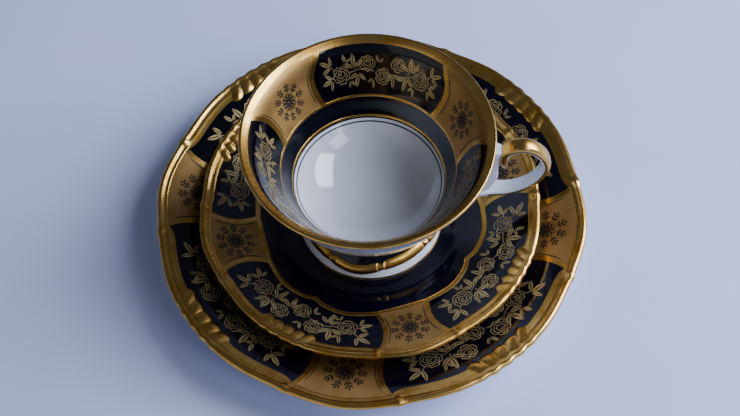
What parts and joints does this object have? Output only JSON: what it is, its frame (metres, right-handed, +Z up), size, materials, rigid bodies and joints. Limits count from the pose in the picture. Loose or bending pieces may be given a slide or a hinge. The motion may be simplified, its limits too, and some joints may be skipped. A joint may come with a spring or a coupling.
{
  "type": "teacup with saucer and plate",
  "caption": "Footed porcelain teacup with an ear-shaped handle, stacked on its saucer and a scalloped dessert plate; cobalt and gold panels round a white inside.",
  "frame": {"origin": "on the common axis of the three pieces, in the plane that the plate's foot ring stands on", "axes": "+Z up along the common axis, +X towards the cup's handle"},
  "size_m": [0.1922, 0.1922, 0.0757],
  "materials": {
    "cup_porcelain": "white glazed porcelain, cobalt and gold inside the bowl, gold on the lip, handle and foot",
    "saucer_porcelain": "white glazed porcelain, its upper side cobalt blue under glaze with burnished gold",
    "plate_porcelain": "white glazed porcelain, its upper side cobalt blue under glaze with burnished gold"
  },
  "bodies": {
    "root": {"cup": "cup_porcelain", "saucer": "saucer_porcelain", "plate": "plate_porcelain"}
  },
  "joints": []
}
